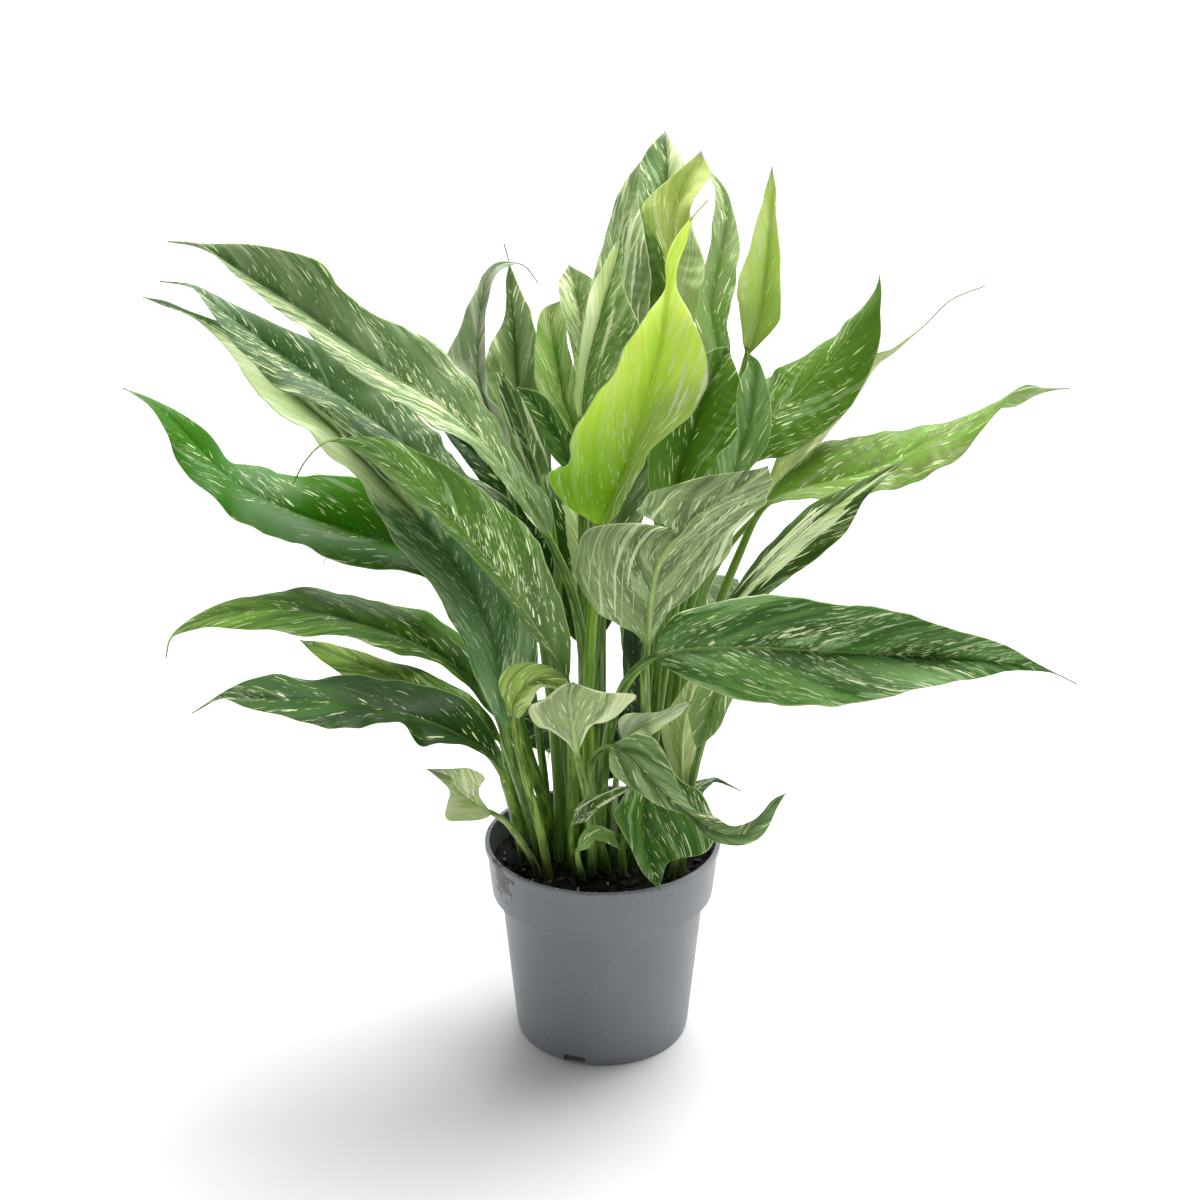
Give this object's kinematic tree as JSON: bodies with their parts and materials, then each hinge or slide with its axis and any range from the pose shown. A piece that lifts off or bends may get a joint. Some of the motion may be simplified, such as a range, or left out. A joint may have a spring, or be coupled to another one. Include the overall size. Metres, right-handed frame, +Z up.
{
  "type": "potted peace lily",
  "caption": "Potted foliage plant with long, arching, streaked leaves on upright stalks, rooted in soil in a round plastic nursery pot.",
  "frame": {"origin": "on the floor under the middle of the whole plant's box; the pot axis stands at x = 3.1 mm, y = -10 mm", "axes": "+Z up, +X to the right seen from the front, +Y away from the front"},
  "size_m": [0.4831, 0.3208, 0.4812],
  "materials": {
    "pot": "satin",
    "soil": "matte, crumbly",
    "leaf_dark": "waxy satin",
    "leaf_mid": "waxy satin",
    "leaf_bright": "waxy satin",
    "leaf_light": "waxy satin",
    "leaf_grey": "satin",
    "leaf_pale": "satin"
  },
  "bodies": {
    "root": {"pot": "pot", "soil": "soil", "leaf_01": "leaf_mid", "leaf_02": "leaf_dark", "leaf_03": "leaf_dark", "leaf_04": "leaf_bright", "leaf_05": "leaf_light", "leaf_06": "leaf_mid", "leaf_07": "leaf_light", "leaf_08": "leaf_dark", "leaf_09": "leaf_pale", "leaf_10": "leaf_grey", "leaf_11": "leaf_mid", "leaf_12": "leaf_light", "leaf_13": "leaf_pale", "leaf_14": "leaf_pale", "leaf_15": "leaf_mid", "leaf_16": "leaf_pale", "leaf_17": "leaf_light", "leaf_18": "leaf_mid", "leaf_19": "leaf_light", "leaf_20": "leaf_light", "leaf_21": "leaf_bright", "leaf_22": "leaf_bright", "leaf_23": "leaf_mid", "leaf_24": "leaf_dark", "leaf_25": "leaf_dark", "leaf_26": "leaf_grey", "leaf_27": "leaf_mid", "leaf_28": "leaf_pale", "leaf_29": "leaf_pale", "leaf_30": "leaf_pale", "leaf_31": "leaf_pale", "leaf_32": "leaf_mid", "leaf_33": "leaf_dark", "leaf_34": "leaf_dark", "leaf_35": "leaf_pale", "leaf_36": "leaf_pale", "leaf_37": "leaf_dark", "leaf_38": "leaf_grey", "leaf_39": "leaf_grey", "leaf_40": "leaf_grey", "leaf_41": "leaf_mid", "leaf_42": "leaf_dark", "leaf_43": "leaf_mid", "leaf_44": "leaf_bright", "leaf_45": "leaf_dark", "leaf_46": "leaf_mid", "leaf_47": "leaf_light", "leaf_48": "leaf_mid", "leaf_49": "leaf_dark", "leaf_50": "leaf_dark", "leaf_51": "leaf_dark", "leaf_52": "leaf_dark"}
  },
  "joints": []
}
